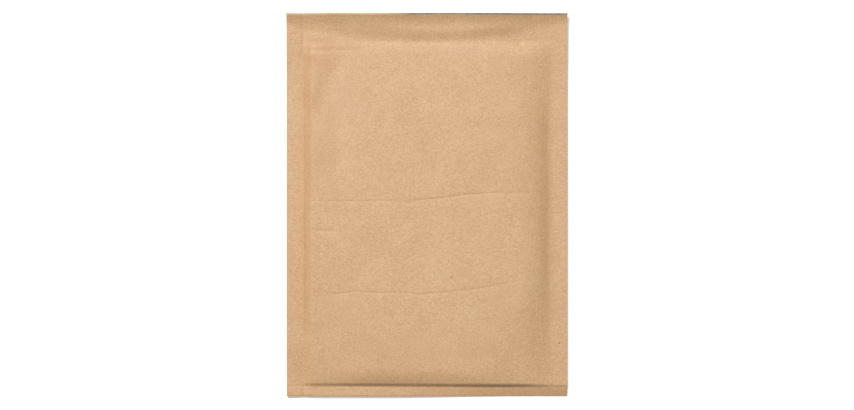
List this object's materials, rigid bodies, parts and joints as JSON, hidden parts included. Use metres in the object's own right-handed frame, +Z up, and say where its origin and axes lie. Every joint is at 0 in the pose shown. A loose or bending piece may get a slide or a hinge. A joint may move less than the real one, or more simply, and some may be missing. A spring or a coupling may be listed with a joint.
{
  "type": "padded envelope",
  "caption": "Flat brown kraft paper mailing envelope lined with bubble film, empty and unsealed, lying plain side up on its folded-under peel-and-seal flap.",
  "frame": {"origin": "on the surface that the envelope lies on, under the middle of its outline", "axes": "+X across the envelope, +Y towards the folded flap at its mouth, +Z up out of the plain address side"},
  "size_m": [0.2, 0.273, 0.0121],
  "materials": {
    "kraft_paper": "matt, fine-grained machine kraft",
    "bubble_film": "clear, glossy",
    "adhesive": "tacky, slightly glossy",
    "silicone_paper": "smooth silicone-coated release paper"
  },
  "bodies": {
    "root": {"kraft_outer": "kraft_paper", "address_side_lining": "bubble_film", "flap_side_lining": "bubble_film", "adhesive_strip": "adhesive", "release_liner": "silicone_paper"}
  },
  "joints": []
}
